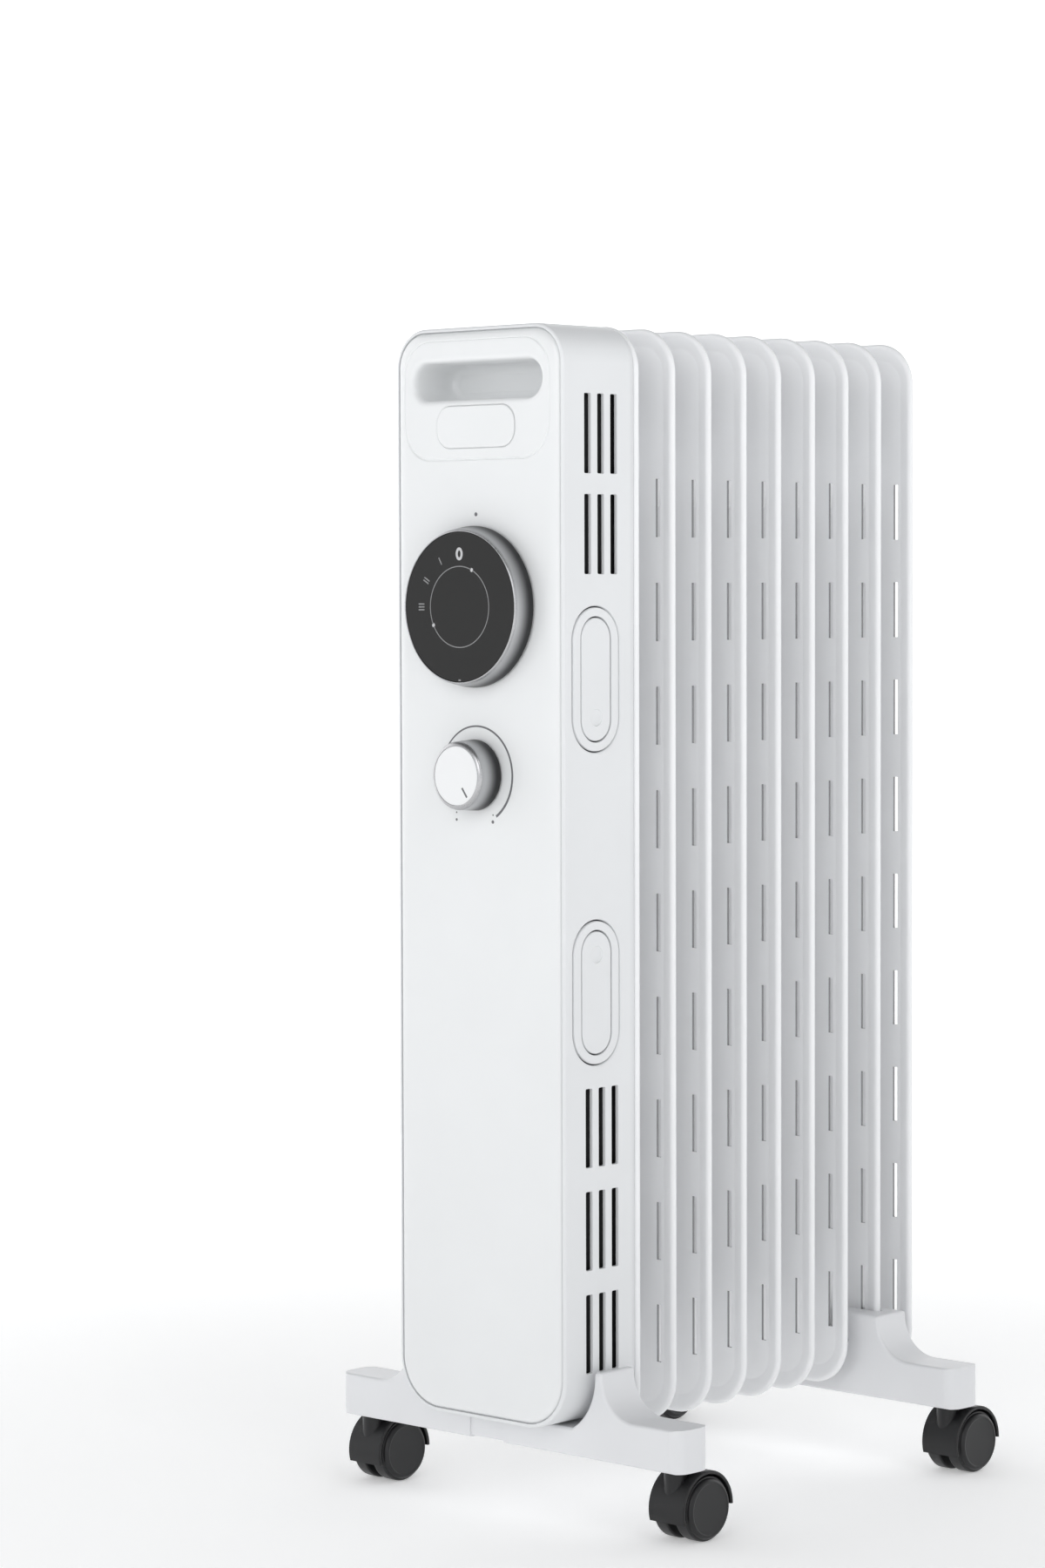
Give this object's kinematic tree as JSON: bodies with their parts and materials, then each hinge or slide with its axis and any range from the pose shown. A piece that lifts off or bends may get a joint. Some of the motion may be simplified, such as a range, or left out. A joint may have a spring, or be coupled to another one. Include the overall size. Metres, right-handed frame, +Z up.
{
  "type": "oil filled radiator heater",
  "caption": "White oil filled radiator with a row of welded steel fins, a slim control column with two dials, cord hooks on its side and two feet on swivelling twin-wheel castors.",
  "frame": {"origin": "on the floor plane, at the middle of the whole heater's outer box", "axes": "+Z up; -Y is the side the controls face and the row of fins runs along +Y; +X is the side with the cord hooks"},
  "size_m": [0.2464, 0.3288, 0.6255],
  "materials": {
    "fin_paint": "semi-gloss white powder coat",
    "white_plastic": "satin white moulded plastic",
    "white_gloss": "glossy white moulded plastic",
    "knob_silver": "satin silver paint",
    "bright_trim": "bright metallised trim",
    "black_gloss": "gloss black with pale printed marks",
    "black_plastic": "matt black moulded plastic",
    "castor_black": "black moulded nylon",
    "ivory_plastic": "heat resistant moulded plastic",
    "plated_steel": "zinc plated",
    "element_steel": "dull steel sheath",
    "wire_sleeve": "silicone sleeve"
  },
  "bodies": {
    "heater": {"fin_1": "fin_paint", "fin_2": "fin_paint", "fin_3": "fin_paint", "fin_4": "fin_paint", "fin_5": "fin_paint", "fin_6": "fin_paint", "fin_7": "fin_paint", "fin_8": "fin_paint", "fin_9": "fin_paint", "header_necks": "fin_paint", "end_caps": "white_plastic", "oil_fill_plug": "plated_steel", "heater_flange": "plated_steel", "heating_elements": "element_steel", "control_housing": "white_plastic", "front_panel": "white_plastic", "hook_cups": "white_plastic", "front_foot_right": "white_plastic", "front_foot_left": "white_plastic", "rear_foot_right": "white_plastic", "rear_foot_left": "white_plastic", "back_plate": "plated_steel", "badge_plate": "white_gloss", "heat_switch": "black_plastic", "thermostat": "ivory_plastic", "terminal_block": "ivory_plastic", "thermal_cutout": "black_plastic", "tip_over_switch": "ivory_plastic", "internal_wires": "wire_sleeve", "cord_bush": "black_plastic", "hook_pins": "plated_steel", "housing_bolts": "plated_steel", "rear_foot_bolts": "plated_steel", "hex_nuts": "plated_steel", "front_foot_screws": "plated_steel"},
    "heat_dial": {"heat_knob": "knob_silver", "heat_knob_ring": "bright_trim", "heat_knob_face": "black_gloss", "heat_switch_shaft": "plated_steel"},
    "thermostat_dial": {"thermostat_knob": "knob_silver", "thermostat_knob_ring": "bright_trim", "thermostat_shaft": "plated_steel"},
    "upper_cord_hook": {"upper_hook": "white_plastic"},
    "lower_cord_hook": {"lower_hook": "white_plastic"},
    "front_right_castor": {"front_right_castor_hood": "castor_black", "front_right_castor_pins": "plated_steel"},
    "front_right_inner_wheel_body": {"front_right_inner_wheel": "castor_black"},
    "front_right_outer_wheel_body": {"front_right_outer_wheel": "castor_black"},
    "front_left_castor": {"front_left_castor_hood": "castor_black", "front_left_castor_pins": "plated_steel"},
    "front_left_inner_wheel_body": {"front_left_inner_wheel": "castor_black"},
    "front_left_outer_wheel_body": {"front_left_outer_wheel": "castor_black"},
    "rear_right_castor": {"rear_right_castor_hood": "castor_black", "rear_right_castor_pins": "plated_steel"},
    "rear_right_inner_wheel_body": {"rear_right_inner_wheel": "castor_black"},
    "rear_right_outer_wheel_body": {"rear_right_outer_wheel": "castor_black"},
    "rear_left_castor": {"rear_left_castor_hood": "castor_black", "rear_left_castor_pins": "plated_steel"},
    "rear_left_inner_wheel_body": {"rear_left_inner_wheel": "castor_black"},
    "rear_left_outer_wheel_body": {"rear_left_outer_wheel": "castor_black"}
  },
  "joints": [
    {"name": "heat_knob_turn", "type": "hinge", "parent": "heater", "child": "heat_dial", "pos_m": [0, -0.1484, 0.4795], "axis": [0, 1, 0], "range_deg": [0, 90]},
    {"name": "thermostat_turn", "type": "hinge", "parent": "heater", "child": "thermostat_dial", "pos_m": [0, -0.1484, 0.392], "axis": [0, 1, 0], "range_deg": [-290, 0]},
    {"name": "upper_hook_swing", "type": "hinge", "parent": "heater", "child": "upper_cord_hook", "pos_m": [0.0555, -0.1219, 0.43425], "axis": [0, 1, 0], "range_deg": [0, 45]},
    {"name": "lower_hook_swing", "type": "hinge", "parent": "heater", "child": "lower_cord_hook", "pos_m": [0.0555, -0.1219, 0.28775], "axis": [0, -1, 0], "range_deg": [0, 45]},
    {"name": "front_right_castor_swivel", "type": "hinge", "parent": "heater", "child": "front_right_castor", "pos_m": [0.1096, -0.1174, 0.036], "axis": [0, 0, 1], "continuous": true},
    {"name": "front_right_inner_wheel_roll", "type": "hinge", "parent": "front_right_castor", "child": "front_right_inner_wheel_body", "pos_m": [0.1096, -0.1054, 0.017], "axis": [1, 0, 0], "continuous": true},
    {"name": "front_right_outer_wheel_roll", "type": "hinge", "parent": "front_right_castor", "child": "front_right_outer_wheel_body", "pos_m": [0.1096, -0.1054, 0.017], "axis": [1, 0, 0], "continuous": true},
    {"name": "front_left_castor_swivel", "type": "hinge", "parent": "heater", "child": "front_left_castor", "pos_m": [-0.1096, -0.1174, 0.036], "axis": [0, 0, 1], "continuous": true},
    {"name": "front_left_inner_wheel_roll", "type": "hinge", "parent": "front_left_castor", "child": "front_left_inner_wheel_body", "pos_m": [-0.1096, -0.1054, 0.017], "axis": [1, 0, 0], "continuous": true},
    {"name": "front_left_outer_wheel_roll", "type": "hinge", "parent": "front_left_castor", "child": "front_left_outer_wheel_body", "pos_m": [-0.1096, -0.1054, 0.017], "axis": [1, 0, 0], "continuous": true},
    {"name": "rear_right_castor_swivel", "type": "hinge", "parent": "heater", "child": "rear_right_castor", "pos_m": [0.1096, 0.1116, 0.036], "axis": [0, 0, 1], "continuous": true},
    {"name": "rear_right_inner_wheel_roll", "type": "hinge", "parent": "rear_right_castor", "child": "rear_right_inner_wheel_body", "pos_m": [0.1096, 0.1236, 0.017], "axis": [1, 0, 0], "continuous": true},
    {"name": "rear_right_outer_wheel_roll", "type": "hinge", "parent": "rear_right_castor", "child": "rear_right_outer_wheel_body", "pos_m": [0.1096, 0.1236, 0.017], "axis": [1, 0, 0], "continuous": true},
    {"name": "rear_left_castor_swivel", "type": "hinge", "parent": "heater", "child": "rear_left_castor", "pos_m": [-0.1096, 0.1116, 0.036], "axis": [0, 0, 1], "continuous": true},
    {"name": "rear_left_inner_wheel_roll", "type": "hinge", "parent": "rear_left_castor", "child": "rear_left_inner_wheel_body", "pos_m": [-0.1096, 0.1236, 0.017], "axis": [1, 0, 0], "continuous": true},
    {"name": "rear_left_outer_wheel_roll", "type": "hinge", "parent": "rear_left_castor", "child": "rear_left_outer_wheel_body", "pos_m": [-0.1096, 0.1236, 0.017], "axis": [1, 0, 0], "continuous": true}
  ]
}
